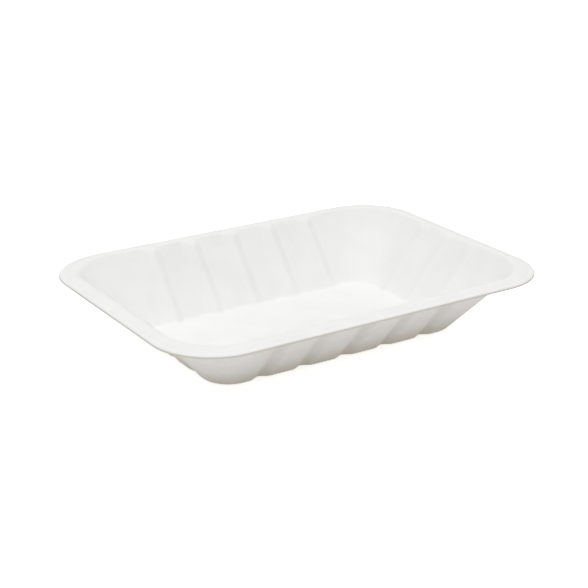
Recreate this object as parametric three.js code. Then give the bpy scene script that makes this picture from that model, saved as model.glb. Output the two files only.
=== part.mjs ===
// A chip tray pressed in one piece from bagasse pulp.
// One thin sheet makes the flat floor, four leaning walls, round corners and a narrow flange.
// Narrow flutes stiffen the walls: each is a ridge on the inside and a groove on the outside.
// Millimetres. The origin is the middle of the underside, X runs along the tray and Z is up.
import * as THREE from "three";

// Overall size, and the thickness of the sheet
const RIM_LENGTH = 178;
const RIM_WIDTH = 130;
const HEIGHT = 28.7;
const SHEET = 0.9;

// Corner radii seen from above, at the outer edge and where the walls meet the floor
const RIM_CORNER = 26.3;
const FLOOR_CORNER = 10.2;

// Walls: their lean from upright in degrees, and their bends into the floor and the flange
const WALL_LEAN = 40.3;
const FLOOR_BEND = 2.4;
const SHOULDER_BEND = 1.8;

// Flange: how far its crest stands in from the outer edge, the radii of its domed fall and of
// the hollow at the fall's foot, the fall's steepest angle in degrees, and the curl of its level lip
const CREST_INSET = 6.2;
const FALL_DOME = 8;
const FALL_HOLLOW = 2.2;
const FALL_ANGLE = 26;
const LIP_CURL = 1.1;

// Flutes: width, depth and pitch on the long and short sides, and how far below the crest they are full
const FLUTE_WIDTH = 10;
const LONG_DEPTH = 2;
const SHORT_DEPTH = 1;
const LONG_PITCH = 20;
const SHORT_PITCH = 17;
const FLUTE_FADE = 2.5;

// Facets along each curve
const BEND_STEPS = 3;
const DOME_STEPS = 3;
const HOLLOW_STEPS = 2;
const CURL_STEPS = 3;
const CORNER_STEPS = 6;
const FLUTE_STEPS = 6;

const WALL_SLOPE = THREE.MathUtils.degToRad(90 - WALL_LEAN);
const FALL_SLOPE = THREE.MathUtils.degToRad(FALL_ANGLE);
const LIP_INSET = CREST_INSET - (FALL_DOME + FALL_HOLLOW) * Math.sin(FALL_SLOPE);
const LIP_HEIGHT = HEIGHT - (FALL_DOME + FALL_HOLLOW) * (1 - Math.cos(FALL_SLOPE));

// A station is one point of the sheet's upper line, seen in section.
// Its slope is that of the line there, rising outwards.
function station(inset, height, slope) {
  const isWall = inset > CREST_INSET;
  const share = isWall ? THREE.MathUtils.smoothstep(HEIGHT - height, 0, FLUTE_FADE) : 0;
  return { inset, height, slope, share };
}

// A round bend between level and the wall's slope, given as stations from low to high.
// The bend into the floor is hollow and starts level, the shoulder is domed and ends level.
function floorBend(levelInset) {
  const stations = [];
  for (let step = 0; step <= BEND_STEPS; step++) {
    const slope = (WALL_SLOPE * step) / BEND_STEPS;
    const inset = levelInset - FLOOR_BEND * Math.sin(slope);
    stations.push(station(inset, SHEET + FLOOR_BEND * (1 - Math.cos(slope)), slope));
  }
  return stations;
}

function shoulderBend() {
  const stations = [];
  for (let step = 0; step <= BEND_STEPS; step++) {
    const slope = WALL_SLOPE * (1 - step / BEND_STEPS);
    const inset = CREST_INSET + SHOULDER_BEND * Math.sin(slope);
    stations.push(station(inset, HEIGHT - SHOULDER_BEND * (1 - Math.cos(slope)), slope));
  }
  return stations;
}

// The flange's fall outwards from its crest to its lip, without the crest: a dome, then a hollow
function flangeFall() {
  const stations = [];
  for (let step = 1; step <= DOME_STEPS; step++) {
    const slope = (FALL_SLOPE * step) / DOME_STEPS;
    const inset = CREST_INSET - FALL_DOME * Math.sin(slope);
    stations.push(station(inset, HEIGHT - FALL_DOME * (1 - Math.cos(slope)), -slope));
  }
  for (let step = 1; step <= HOLLOW_STEPS; step++) {
    const slope = FALL_SLOPE * (1 - step / HOLLOW_STEPS);
    const inset = LIP_INSET + FALL_HOLLOW * Math.sin(slope);
    stations.push(station(inset, LIP_HEIGHT + FALL_HOLLOW * (1 - Math.cos(slope)), -slope));
  }
  return stations;
}

// The lip's quarter turn downwards at the outer edge, from its level start
function lipCurl() {
  const stations = [];
  for (let step = 0; step <= CURL_STEPS; step++) {
    const turn = (Math.PI * step) / (2 * CURL_STEPS);
    const inset = LIP_CURL * (1 - Math.sin(turn));
    stations.push(station(inset, LIP_HEIGHT - LIP_CURL * (1 - Math.cos(turn)), -turn));
  }
  return stations;
}

// How far inwards the floor ends and its bend begins
function floorInset() {
  const wallTop = shoulderBend()[0];
  const wallFoot = SHEET + FLOOR_BEND * (1 - Math.cos(WALL_SLOPE));
  const run = (wallTop.height - wallFoot) / Math.tan(WALL_SLOPE);
  return wallTop.inset + run + FLOOR_BEND * Math.sin(WALL_SLOPE);
}

// The sheet's upper line from the edge of the floor to the tip of the curled lip
function upperLine() {
  const bend = floorBend(floorInset());
  const shoulder = shoulderBend();
  const foot = bend[bend.length - 1];
  const top = shoulder[0];
  const fullHeight = HEIGHT - FLUTE_FADE;
  const fullInset = top.inset + (top.height - fullHeight) / Math.tan(WALL_SLOPE);
  const middle = station((foot.inset + fullInset) / 2, (foot.height + fullHeight) / 2, WALL_SLOPE);
  const full = station(fullInset, fullHeight, WALL_SLOPE);
  return [...bend, middle, full, ...shoulder, ...flangeFall(), ...lipCurl()];
}

// The whole section: out along the upper line to the lip's tip, and back along the underside,
// which lies one sheet's thickness below the upper line
function section() {
  const upper = upperLine();
  const under = upper.map(({ inset, height, slope, share }) => ({
    inset: inset - SHEET * Math.sin(slope),
    height: height - SHEET * Math.cos(slope),
    share,
  }));
  return [...upper, ...under.reverse()];
}

// The corner radius shrinks evenly from the outer edge to the floor
function cornerRadius(inset) {
  return THREE.MathUtils.lerp(RIM_CORNER, FLOOR_CORNER, inset / floorInset());
}

// Half of a side's straight length at an inset, between its two corners
function straightHalf(sideLength, inset) {
  return sideLength / 2 - inset - cornerRadius(inset);
}

// The flutes of one side as places along it, each with its share of the flute's full depth.
// The side holds as many flutes as fit on the straight stretch at the floor.
function fluteSteps(sideLength, pitch) {
  const straight = 2 * straightHalf(sideLength, floorInset());
  const count = Math.floor((straight - FLUTE_WIDTH) / pitch) + 1;
  const steps = [];
  for (let flute = 0; flute < count; flute++) {
    const middle = (flute - (count - 1) / 2) * pitch;
    for (let step = 0; step <= FLUTE_STEPS; step++) {
      const across = step / FLUTE_STEPS - 0.5;
      const ridge = Math.cos(Math.PI * across) ** 2;
      steps.push({ along: middle + across * FLUTE_WIDTH, ridge });
    }
  }
  return steps;
}

const LONG_SIDE = {
  length: RIM_LENGTH,
  breadth: RIM_WIDTH,
  depth: LONG_DEPTH,
  flutes: fluteSteps(RIM_LENGTH, LONG_PITCH),
};
const SHORT_SIDE = {
  length: RIM_WIDTH,
  breadth: RIM_LENGTH,
  depth: SHORT_DEPTH,
  flutes: fluteSteps(RIM_WIDTH, SHORT_PITCH),
};

// One closed ring of points, anticlockwise from above: each side in turn, then the corner after it
function ring({ inset, height, share }) {
  const radius = cornerRadius(inset);
  const points = [];
  [LONG_SIDE, SHORT_SIDE, LONG_SIDE, SHORT_SIDE].forEach((side, quarter) => {
    const turn = (quarter * Math.PI) / 2;
    const along = new THREE.Vector3(Math.cos(turn), Math.sin(turn), 0);
    const out = new THREE.Vector3(Math.sin(turn), -Math.cos(turn), 0);
    const place = (a, o) =>
      new THREE.Vector3(0, 0, height).addScaledVector(along, a).addScaledVector(out, o);
    const end = straightHalf(side.length, inset);
    const reach = side.breadth / 2 - inset;
    points.push(place(-end, reach));
    for (const { along: a, ridge } of side.flutes) {
      points.push(place(a, reach - share * ridge * side.depth));
    }
    for (let step = 0; step < CORNER_STEPS; step++) {
      const sweep = (Math.PI * step) / (2 * CORNER_STEPS);
      const a = end + radius * Math.sin(sweep);
      points.push(place(a, reach - radius * (1 - Math.cos(sweep))));
    }
  });
  return points;
}

// The closed skin: the floor, the rings joined one to the next, and the underside
function trayGeometry() {
  const rings = section().map(ring);
  const around = rings[0].length;
  const points = [new THREE.Vector3(0, 0, SHEET), ...rings.flat(), new THREE.Vector3(0, 0, 0)];
  const last = points.length - 1;
  const at = (level, k) => 1 + level * around + (k % around);
  const faces = [];
  for (let k = 0; k < around; k++) {
    faces.push(0, at(0, k), at(0, k + 1));
    for (let level = 0; level < rings.length - 1; level++) {
      faces.push(at(level, k), at(level + 1, k), at(level + 1, k + 1));
      faces.push(at(level, k), at(level + 1, k + 1), at(level, k + 1));
    }
    faces.push(last, at(rings.length - 1, k + 1), at(rings.length - 1, k));
  }
  const geometry = new THREE.BufferGeometry().setFromPoints(points);
  geometry.setIndex(faces);
  geometry.computeVertexNormals();
  return geometry;
}

// Pressed bagasse: off-white, dull and unpolished
const bagasse = new THREE.MeshStandardMaterial({ color: 0xf1efe9, roughness: 0.9, metalness: 0 });

const tray = new THREE.Mesh(trayGeometry(), bagasse);
tray.name = "tray";

const group = new THREE.Group();
group.add(tray);

export default group;
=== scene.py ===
"""A chip tray pressed in one piece from bagasse pulp, on a pale table in soft studio light.

Metres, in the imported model's frame: X along the tray, Z up, the underside at Z = 0.
The sheet is drawn as a section from the floor out to the lip, carried round the tray in rings.
"""
import math

import bpy
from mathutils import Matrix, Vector, noise


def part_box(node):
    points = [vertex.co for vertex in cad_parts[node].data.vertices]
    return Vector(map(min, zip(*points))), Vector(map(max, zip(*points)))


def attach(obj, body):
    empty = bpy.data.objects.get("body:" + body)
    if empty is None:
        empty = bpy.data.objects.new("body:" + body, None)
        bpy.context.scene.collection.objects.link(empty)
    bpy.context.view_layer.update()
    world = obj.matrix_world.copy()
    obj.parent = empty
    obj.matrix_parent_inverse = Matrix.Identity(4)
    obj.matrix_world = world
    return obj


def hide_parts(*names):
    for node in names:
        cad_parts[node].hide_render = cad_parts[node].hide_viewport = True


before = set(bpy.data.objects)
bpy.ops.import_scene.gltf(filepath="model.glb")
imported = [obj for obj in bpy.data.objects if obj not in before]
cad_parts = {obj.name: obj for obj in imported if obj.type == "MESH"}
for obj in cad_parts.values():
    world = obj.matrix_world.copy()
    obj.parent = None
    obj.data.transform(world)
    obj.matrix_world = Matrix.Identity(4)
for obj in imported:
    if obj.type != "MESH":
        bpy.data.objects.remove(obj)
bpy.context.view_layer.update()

MM = 0.001

# Distance at which a wave texture of scale 1 repeats
WAVE_REPEAT = 2 * math.pi / 20

# Sizes of the pulp's patterns: cloudy patches and fibres on the pressed side, clumps and wires on the other
CLOUD_WIDTH = 14.3 * MM
FIBRE_WIDTH = 1.613 * MM
FIBRE_THINNING = 2.4
CLUMP_WIDTH = 3.03 * MM
WIRE_PITCH = 1.0 * MM
WIRE_SHARE = 0.25

# Heights between which the painted shade at the screened side's foot, darker and warmer near the table, fades
# to its usual tone
FOOT_SHADE_BELOW = 1.0 * MM
FOOT_SHADE_ABOVE = 9.0 * MM

# Overall size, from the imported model
LOW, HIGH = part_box("tray")
RIM_LENGTH = (HIGH.x - LOW.x) / MM
RIM_WIDTH = (HIGH.y - LOW.y) / MM
HEIGHT = (HIGH.z - LOW.z) / MM

# The tray's own sizes in millimetres, as in the part's source. Only the shoulder is drawn rounder, with
# its crest that much further out, and the flutes run nearer to the crest than in the plainer solid.
SHEET = 0.9
RIM_CORNER = 26.3
FLOOR_CORNER = 10.2
WALL_SLOPE = math.radians(49.7)
FLOOR_BEND = 2.4
SHOULDER_BEND = 2.6
CREST_INSET = 5.83
FALL_DOME = 8.0
FALL_HOLLOW = 2.2
FALL_SLOPE = math.radians(26)
LIP_INSET = CREST_INSET - (FALL_DOME + FALL_HOLLOW) * math.sin(FALL_SLOPE)
LIP_HEIGHT = HEIGHT - (FALL_DOME + FALL_HOLLOW) * (1 - math.cos(FALL_SLOPE))
LIP_CURL = 1.1
FLUTE_WIDTH = 10.0
LONG_DEPTH = 2.0
SHORT_DEPTH = 1.0
LONG_PITCH = 20.0
SHORT_PITCH = 17.0
FLUTE_FADE = 2.0

# The curled lip: how steeply its curl falls where the painted shade under the lip, with the cut edge's duller
# tone, starts and where it is full
TRIM_SHADE_START = math.radians(38)
TRIM_SHADE_FULL = math.radians(68)

# Slow and fine unevenness of the pressed sheet: how far it strays and how wide its swells are, in millimetres
SLOW_STRAY = 0.16
SLOW_WIDTH = 34.0
FINE_STRAY = 0.035
FINE_WIDTH = 7.0

# How finely each stretch is drawn, and how far the wall's steps crowd towards its top
FLOOR_RINGS = 14
BEND_STEPS = 6
WALL_STEPS = 22
WALL_CROWDING = 1.4
DOME_STEPS = 7
HOLLOW_STEPS = 5
CURL_STEPS = 7
FLUTE_STEPS = 14
PANEL_STEPS = 9
END_STEPS = 7
CORNER_STEPS = 26

# Camera: its angle round the tray, its distance from the lip's middle, its lens and its framing
CAMERA_AZIMUTH = math.radians(-32.95)
CAMERA_ELEVATION = math.radians(19.83)
CAMERA_DISTANCE = 0.6126
AIM_HEIGHT = (LIP_HEIGHT - LIP_CURL / 2) * MM
SENSOR_WIDTH = 36.0
PHOTO_WIDTH = 588
FOCAL_PIXELS = 1454.0
MIDDLE_X = 297.36
MIDDLE_Y = 270.6


def linear(code):
    """A colour written as sRGB hex, turned linear."""
    parts = [int(code[k:k + 2], 16) / 255 for k in (1, 3, 5)]
    return tuple(c / 12.92 if c <= 0.04045 else ((c + 0.055) / 1.055) ** 2.4 for c in parts) + (1.0,)


def smooth_step(value, low, high):
    """0 below low, 1 above high, and a smooth rise between."""
    t = min(max((value - low) / (high - low), 0.0), 1.0)
    return t * t * (3 - 2 * t)


def station(inset, height, slope):
    """One point of the sheet's upper line: inset from the outer edge, height, slope and share of flute."""
    share = smooth_step(HEIGHT - height, 0.0, FLUTE_FADE) if inset > CREST_INSET else 0.0
    return inset, height, slope, share


def shoulder_bend():
    """The domed bend from the wall up to the level crest."""
    stations = []
    for step in range(BEND_STEPS + 1):
        slope = WALL_SLOPE * (1 - step / BEND_STEPS)
        inset = CREST_INSET + SHOULDER_BEND * math.sin(slope)
        stations.append(station(inset, HEIGHT - SHOULDER_BEND * (1 - math.cos(slope)), slope))
    return stations


WALL_TOP_INSET, WALL_TOP_HEIGHT = shoulder_bend()[0][:2]
WALL_FOOT_HEIGHT = SHEET + FLOOR_BEND * (1 - math.cos(WALL_SLOPE))
WALL_FOOT_INSET = WALL_TOP_INSET + (WALL_TOP_HEIGHT - WALL_FOOT_HEIGHT) / math.tan(WALL_SLOPE)
FLOOR_INSET = WALL_FOOT_INSET + FLOOR_BEND * math.sin(WALL_SLOPE)


def floor_bend():
    """The hollow bend from the level floor up to the wall."""
    stations = []
    for step in range(BEND_STEPS + 1):
        slope = WALL_SLOPE * step / BEND_STEPS
        inset = FLOOR_INSET - FLOOR_BEND * math.sin(slope)
        stations.append(station(inset, SHEET + FLOOR_BEND * (1 - math.cos(slope)), slope))
    return stations


def wall():
    """The straight wall between its two bends, with finer steps near the top where the flutes fade."""
    stations = []
    for step in range(1, WALL_STEPS):
        t = 1 - (1 - step / WALL_STEPS) ** WALL_CROWDING
        inset = WALL_FOOT_INSET + (WALL_TOP_INSET - WALL_FOOT_INSET) * t
        height = WALL_FOOT_HEIGHT + (WALL_TOP_HEIGHT - WALL_FOOT_HEIGHT) * t
        stations.append(station(inset, height, WALL_SLOPE))
    return stations


def flange_fall():
    """The flange's fall outwards from its crest to its lip, without the crest: a dome, then a hollow."""
    stations = []
    for step in range(1, DOME_STEPS + 1):
        slope = FALL_SLOPE * step / DOME_STEPS
        inset = CREST_INSET - FALL_DOME * math.sin(slope)
        stations.append(station(inset, HEIGHT - FALL_DOME * (1 - math.cos(slope)), -slope))
    for step in range(1, HOLLOW_STEPS + 1):
        slope = FALL_SLOPE * (1 - step / HOLLOW_STEPS)
        inset = LIP_INSET + FALL_HOLLOW * math.sin(slope)
        stations.append(station(inset, LIP_HEIGHT + FALL_HOLLOW * (1 - math.cos(slope)), -slope))
    return stations


def lip_curl():
    """The lip's quarter turn downwards at the outer edge, from its level start."""
    stations = []
    for step in range(CURL_STEPS + 1):
        turn = math.pi * step / (2 * CURL_STEPS)
        inset = LIP_CURL * (1 - math.sin(turn))
        stations.append(station(inset, LIP_HEIGHT - LIP_CURL * (1 - math.cos(turn)), -turn))
    return stations


def upper_line():
    """The sheet's upper line from the edge of the floor to the tip of the curled lip."""
    return [*floor_bend(), *wall(), *shoulder_bend(), *flange_fall(), *lip_curl()]


def corner_radius(inset):
    """The corner radius, which shrinks evenly from the outer edge to the floor."""
    return RIM_CORNER + (FLOOR_CORNER - RIM_CORNER) * inset / FLOOR_INSET


def flute_steps(side_length, pitch):
    """Places along one side, each with its share of the flute's depth: as many flutes as fit at the floor."""
    straight = 2 * (side_length / 2 - FLOOR_INSET - corner_radius(FLOOR_INSET))
    count = math.floor((straight - FLUTE_WIDTH) / pitch) + 1
    steps = []
    for flute in range(count):
        middle = (flute - (count - 1) / 2) * pitch
        for step in range(FLUTE_STEPS + 1):
            across = step / FLUTE_STEPS - 0.5
            steps.append((middle + across * FLUTE_WIDTH, math.cos(math.pi * across) ** 2))
        if flute < count - 1:
            for step in range(1, PANEL_STEPS):
                steps.append((middle + FLUTE_WIDTH / 2 + (pitch - FLUTE_WIDTH) * step / PANEL_STEPS, 0.0))
    return steps


SIDES = [
    (RIM_LENGTH, RIM_WIDTH, LONG_DEPTH, flute_steps(RIM_LENGTH, LONG_PITCH)),
    (RIM_WIDTH, RIM_LENGTH, SHORT_DEPTH, flute_steps(RIM_WIDTH, SHORT_PITCH)),
] * 2


def side_points(end, reach, flutes, depth):
    """Places along one straight side and their reach outwards, from its start to just before its end."""
    first, last = flutes[0][0], flutes[-1][0]
    points = [(-end + (first + end) * step / END_STEPS, reach) for step in range(END_STEPS)]
    points += [(along, reach - ridge * depth) for along, ridge in flutes]
    points += [(last + (end - last) * step / END_STEPS, reach) for step in range(1, END_STEPS)]
    return points


def unevenness(x, y, height):
    """How far the sheet strays along its own facing at a place. Its two sides stray almost alike."""
    place = Vector((x, y, height))
    slow = SLOW_STRAY * noise.noise(place / SLOW_WIDTH)
    fine = FINE_STRAY * noise.noise(place / FINE_WIDTH)
    return slow + fine


def ring(inset, height, slope, share, below):
    """One closed ring, anticlockwise from above: each side in turn, then the corner after it.

    The ring lies a distance below the sheet's upper line, measured square to the sheet.
    """
    lower_inset = inset - below * math.sin(slope)
    lower_height = height - below * math.cos(slope)
    radius = corner_radius(lower_inset)
    settled = smooth_step(height, SHEET, SHEET + FLOOR_BEND)
    points = []
    for quarter, (length, breadth, depth, flutes) in enumerate(SIDES):
        turn = quarter * math.pi / 2
        end = length / 2 - lower_inset - radius
        reach = breadth / 2 - lower_inset
        places = [(along, out, 0.0) for along, out in side_points(end, reach, flutes, share * depth)]
        for step in range(CORNER_STEPS):
            sweep = math.pi * step / (2 * CORNER_STEPS)
            places.append((end + radius * math.sin(sweep), reach - radius * (1 - math.cos(sweep)), sweep))
        for along, out, sweep in places:
            x = along * math.cos(turn) + out * math.sin(turn)
            y = along * math.sin(turn) - out * math.cos(turn)
            stray = settled * unevenness(x, y, lower_height)
            outward = -stray * math.sin(slope)
            x += outward * math.sin(turn + sweep)
            y -= outward * math.cos(turn + sweep)
            points.append((x, y, lower_height + stray * math.cos(slope)))
    return points


def groove_shade_tones(share):
    """How deep in a groove each point of a ring lies, from 0 on the panels to 1 in a full groove's middle:
    the mask of the painted groove shade.
    """
    tones = []
    for length, breadth, depth, flutes in SIDES:
        side = side_points(0.0, 0.0, flutes, share * depth / LONG_DEPTH)
        tones += [-out for along, out in side] + [0.0] * CORNER_STEPS
    return tones


def floor_rings(edge):
    """The floor's rings between its middle and its edge, from the inside out."""
    shares = [k / FLOOR_RINGS for k in range(1, FLOOR_RINGS)]
    return [[(x * share, y * share, z) for x, y, z in edge] for share in shares]


def join_rings(mesh_points, around, levels):
    """Faces of a skin with one middle point, then rings, then the other middle point."""
    last = len(mesh_points) - 1
    faces = []
    for k in range(around):
        after = (k + 1) % around
        faces.append((0, 1 + k, 1 + after))
        for level in range(levels - 1):
            a = 1 + level * around
            b = a + around
            faces.append((a + k, b + k, b + after, a + after))
        a = 1 + (levels - 1) * around
        faces.append((last, a + after, a + k))
    return faces


def tray_skin():
    """The tray's points in millimetres, their tones, points a ring, rings and pressed rings."""
    upper = upper_line()
    top = [ring(*place, 0.0) for place in upper]
    under = [ring(*place, SHEET) for place in reversed(upper)]
    rings = [*floor_rings(top[0]), *top, *under, *reversed(floor_rings(under[-1]))]
    points = [(0.0, 0.0, SHEET)]
    for one in rings:
        points.extend(one)
    points.append((0.0, 0.0, 0.0))
    around = len(top[0])
    pressed_levels = FLOOR_RINGS - 1 + len(top)
    # Masks for the painted shade in the grooves of the screened side
    groove_shades = [0.0] * (1 + pressed_levels * around)
    for place in reversed(upper):
        groove_shades.extend(groove_shade_tones(place[3]))
    groove_shades.extend([0.0] * (len(points) - len(groove_shades)))
    # Painted shade along the lip's downward curl, with the cut edge's duller tone
    trims_and_shades = [0.0] * (1 + (FLOOR_RINGS - 1) * around)
    for place in [*upper, *reversed(upper)]:
        trims_and_shades.extend([smooth_step(-place[2], TRIM_SHADE_START, TRIM_SHADE_FULL)] * around)
    trims_and_shades.extend([0.0] * (len(points) - len(trims_and_shades)))
    return points, {"groove": groove_shades, "trim_and_shade": trims_and_shades}, around, len(rings), pressed_levels


def make_tray():
    """The moulded tray as one mesh, with the pressed side and the screen side as two materials."""
    points, tones, around, levels, pressed_levels = tray_skin()
    faces = join_rings(points, around, levels)
    mesh = bpy.data.meshes.new("moulded_tray")
    mesh.from_pydata([(x * MM, y * MM, z * MM) for x, y, z in points], [], faces)
    for name, values in tones.items():
        mesh.attributes.new(name, "FLOAT", "POINT").data.foreach_set("value", values)
    mesh.materials.append(pressed_bagasse())
    mesh.materials.append(screened_bagasse())
    per_column = levels + 1
    for number, polygon in enumerate(mesh.polygons):
        polygon.use_smooth = True
        polygon.material_index = 0 if number % per_column < pressed_levels else 1
    piece = bpy.data.objects.new("moulded_tray", mesh)
    bpy.context.scene.collection.objects.link(piece)
    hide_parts("tray")
    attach(piece, "root")
    return piece


def add(material, kind, links=(), **settings):
    """Adds a node with its settings and its links, each a socket, the source node and its output."""
    node = material.node_tree.nodes.new(kind)
    for name, value in settings.items():
        if hasattr(node, name):
            setattr(node, name, value)
        else:
            node.inputs[name.replace("_", " ")].default_value = value
    for socket, source, output in links:
        material.node_tree.links.new(source.outputs[output], node.inputs[socket])
    return node


def paint(ramp, *stops):
    """Sets a colour ramp's two stops, each a place and a colour as sRGB hex."""
    for element, (position, code) in zip(ramp.color_ramp.elements, stops):
        element.position = position
        element.color = linear(code)


def new_material(name):
    """An empty node material with its output."""
    material = bpy.data.materials.new(name)
    material.use_nodes = True
    material.node_tree.nodes.clear()
    return material


def trim_and_shade_tone(material, colour, output):
    """Painted shade under the curled lip, darkening the curl's outer face, with the cut edge's own duller
    tone of open fibre ends.
    """
    trim_and_shade = add(material, "ShaderNodeAttribute", attribute_name="trim_and_shade")
    dull_and_shaded = add(material, "ShaderNodeValToRGB", [("Fac", trim_and_shade, "Fac")])
    paint(dull_and_shaded, (0.0, "#FFFFFF"), (1.0, "#D9D6CF"))
    return add(
        material, "ShaderNodeMix", [("A", colour, output), ("B", dull_and_shaded, "Color")],
        data_type="RGBA", blend_type="MULTIPLY", Factor=1.0,
    )


def pressed_bagasse():
    """Bagasse hot-pressed on the polished tool: white and dull, faintly cloudy, with flattened fibres."""
    material = new_material("pressed_bagasse")
    place = add(material, "ShaderNodeTexCoord")
    # Cloudy patches, where the pulp settled a little thicker or thinner
    clouds = add(
        material, "ShaderNodeTexNoise", [("Vector", place, "Object")], Scale=1 / CLOUD_WIDTH, Detail=3.0,
    )
    tint = add(material, "ShaderNodeValToRGB", [("Fac", clouds, "Fac")])
    paint(tint, (0.35, "#F3F3F1"), (0.65, "#F6F6F4"))
    # Single fibres under 1 mm long, drawn about 1.6 mm long so that they still show
    squeeze = add(
        material, "ShaderNodeMapping", [("Vector", place, "Object")],
        Scale=(1.0, FIBRE_THINNING, FIBRE_THINNING),
    )
    fibres = add(
        material, "ShaderNodeTexNoise", [("Vector", squeeze, "Vector")], Scale=1 / FIBRE_WIDTH, Detail=3.0,
    )
    fleck = add(material, "ShaderNodeValToRGB", [("Fac", fibres, "Fac")])
    paint(fleck, (0.3, "#FAF9F6"), (0.44, "#FFFFFF"))
    mixed = add(
        material, "ShaderNodeMix", [("A", tint, "Color"), ("B", fleck, "Color")],
        data_type="RGBA", blend_type="MULTIPLY",
    )
    bump = add(material, "ShaderNodeBump", [("Height", fibres, "Fac")], Strength=0.14, Distance=0.0001)
    shader = add(
        material, "ShaderNodeBsdfPrincipled",
        [("Base Color", trim_and_shade_tone(material, mixed, "Result"), "Result"), ("Normal", bump, "Normal")],
        Roughness=0.75, IOR=1.5,
    )
    add(material, "ShaderNodeOutputMaterial", [("Surface", shader, "BSDF")])
    return material


def screened_bagasse():
    """Bagasse drawn onto the wire screen: rough, mottled and warmer, with the wires' crossed lines, and with
    painted shade at its foot and along its grooves.
    """
    material = new_material("screened_bagasse")
    place = add(material, "ShaderNodeTexCoord")
    apart = add(material, "ShaderNodeSeparateXYZ", [("Vector", place, "Object")])
    # Painted shade: darker and warmer towards the foot, where the outer wall lies in shade near the table
    rise = add(
        material, "ShaderNodeMapRange", [("Value", apart, "Z")], From_Min=FOOT_SHADE_BELOW, From_Max=FOOT_SHADE_ABOVE,
    )
    foot_shade = add(material, "ShaderNodeValToRGB", [("Fac", rise, "Result")])
    paint(foot_shade, (0.0, "#D9D3C7"), (1.0, "#E8E6E3"))
    # Mottling from clumps of fibre
    clumps = add(
        material, "ShaderNodeTexNoise", [("Vector", place, "Object")], Scale=1 / CLUMP_WIDTH, Detail=5.0,
    )
    shade = add(material, "ShaderNodeValToRGB", [("Fac", clumps, "Fac")])
    paint(shade, (0.3, "#F6F5F2"), (0.62, "#FFFFFF"))
    mixed = add(
        material, "ShaderNodeMix", [("A", foot_shade, "Color"), ("B", shade, "Color")],
        data_type="RGBA", blend_type="MULTIPLY",
    )
    # Painted shade along the grooves, darkest in their middles, where less light falls
    groove = add(material, "ShaderNodeAttribute", attribute_name="groove")
    painted_groove_shade = add(material, "ShaderNodeValToRGB", [("Fac", groove, "Fac")])
    paint(painted_groove_shade, (0.0, "#FFFFFF"), (1.0, "#F2F0EC"))
    toned = add(
        material, "ShaderNodeMix", [("A", mixed, "Result"), ("B", painted_groove_shade, "Color")],
        data_type="RGBA", blend_type="MULTIPLY",
    )
    # The screen's wires stand about 0.6 mm apart, drawn 1 mm apart so that they still show
    weave = add(material, "ShaderNodeTexWave", [("Vector", place, "Object")], Scale=WAVE_REPEAT / WIRE_PITCH)
    weft = add(
        material, "ShaderNodeTexWave", [("Vector", place, "Object")],
        bands_direction="Y", Scale=WAVE_REPEAT / WIRE_PITCH,
    )
    crossed = add(material, "ShaderNodeMath", [(0, weave, "Fac"), (1, weft, "Fac")], operation="MULTIPLY")
    rough = add(
        material, "ShaderNodeMath", [(0, crossed, 0), (2, clumps, "Fac")], operation="MULTIPLY_ADD",
    )
    rough.inputs[1].default_value = WIRE_SHARE
    bump = add(material, "ShaderNodeBump", [("Height", rough, 0)], Strength=0.35, Distance=0.0003)
    shader = add(
        material, "ShaderNodeBsdfPrincipled",
        [("Base Color", trim_and_shade_tone(material, toned, "Result"), "Result"), ("Normal", bump, "Normal")],
        Roughness=0.95, IOR=1.5,
    )
    add(material, "ShaderNodeOutputMaterial", [("Surface", shader, "BSDF")])
    return material


def table_paint():
    """Matt pale table. It shows as white to the camera and still takes the tray's soft shadow."""
    material = new_material("table_paint")
    path = add(material, "ShaderNodeLightPath")
    seen = add(
        material, "ShaderNodeMath",
        [(0, path, "Is Camera Ray"), (1, path, "Is Glossy Ray")], operation="MAXIMUM",
    )
    shown = add(
        material, "ShaderNodeMath",
        [(0, seen, 0), (1, path, "Is Transmission Ray")], operation="MAXIMUM",
    )
    lift = add(material, "ShaderNodeMapRange", [("Value", shown, 0)], To_Min=0.22, To_Max=0.65)
    shader = add(
        material, "ShaderNodeBsdfPrincipled", [("Emission Strength", lift, "Result")],
        Base_Color=linear("#EDEDED"), Roughness=0.9,
    )
    shader.inputs["Emission Color"].default_value = (1.0, 1.0, 1.0, 1.0)
    add(material, "ShaderNodeOutputMaterial", [("Surface", shader, "BSDF")])
    return material


def make_table():
    """A round table top far wider than the view."""
    radius = 6.0
    sides = 96
    turns = [2 * math.pi * k / sides for k in range(sides)]
    rim = [(radius * math.cos(turn), radius * math.sin(turn), 0.0) for turn in turns]
    mesh = bpy.data.meshes.new("table")
    mesh.from_pydata(rim, [], [tuple(range(sides))])
    mesh.materials.append(table_paint())
    table = bpy.data.objects.new("table", mesh)
    bpy.context.scene.collection.objects.link(table)


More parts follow.
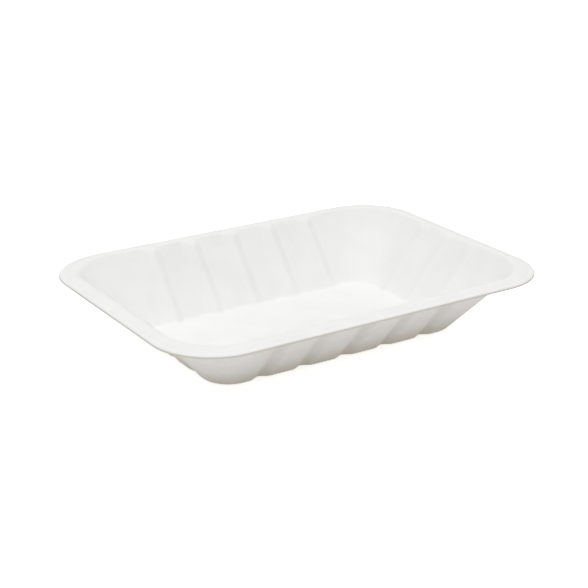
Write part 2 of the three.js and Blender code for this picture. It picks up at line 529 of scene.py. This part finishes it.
def make_camera():
    """The photograph's camera, aimed at the middle of the lip and shifted to its framing."""
    data = bpy.data.cameras.new("camera")
    data.sensor_width = SENSOR_WIDTH
    data.lens = FOCAL_PIXELS / PHOTO_WIDTH * SENSOR_WIDTH
    data.shift_x = (PHOTO_WIDTH / 2 - MIDDLE_X) / PHOTO_WIDTH
    data.shift_y = (MIDDLE_Y - PHOTO_WIDTH / 2) / PHOTO_WIDTH
    data.clip_end = 50.0
    camera = bpy.data.objects.new("camera", data)
    bpy.context.scene.collection.objects.link(camera)
    back = Vector((
        math.sin(CAMERA_AZIMUTH) * math.cos(CAMERA_ELEVATION),
        -math.cos(CAMERA_AZIMUTH) * math.cos(CAMERA_ELEVATION),
        math.sin(CAMERA_ELEVATION),
    ))
    target = Vector((0.0, 0.0, AIM_HEIGHT))
    camera.location = target + back * CAMERA_DISTANCE
    camera.rotation_euler = (-back).to_track_quat("-Z", "Y").to_euler()
    bpy.context.scene.camera = camera


def make_lamp(name, azimuth, elevation, distance, width, height, power):
    """A soft box that looks at the tray from an angle round it and above it, in degrees."""
    data = bpy.data.lights.new(name, "AREA")
    data.shape = "RECTANGLE"
    data.size = width
    data.size_y = height
    data.energy = power
    lamp = bpy.data.objects.new(name, data)
    bpy.context.scene.collection.objects.link(lamp)
    a, e = math.radians(azimuth), math.radians(elevation)
    back = Vector((math.sin(a) * math.cos(e), -math.cos(a) * math.cos(e), math.sin(e)))
    lamp.location = back * distance
    lamp.rotation_euler = (-back).to_track_quat("-Z", "Y").to_euler()


def make_light():
    """A dim even surround, a wide soft box overhead and a weak one at the left."""
    world = bpy.data.worlds.new("studio")
    world.use_nodes = True
    world.node_tree.nodes["Background"].inputs["Color"].default_value = (1.0, 1.0, 1.0, 1.0)
    world.node_tree.nodes["Background"].inputs["Strength"].default_value = 0.48
    bpy.context.scene.world = world
    make_lamp("overhead_box", azimuth=0, elevation=88, distance=1.6, width=1.2, height=1.2, power=12.5)
    make_lamp("side_box", azimuth=-72, elevation=50, distance=1.6, width=0.9, height=0.9, power=2.3)


make_camera()
make_light()
make_table()
make_tray()

scene = bpy.context.scene
scene.view_settings.view_transform = "Standard"
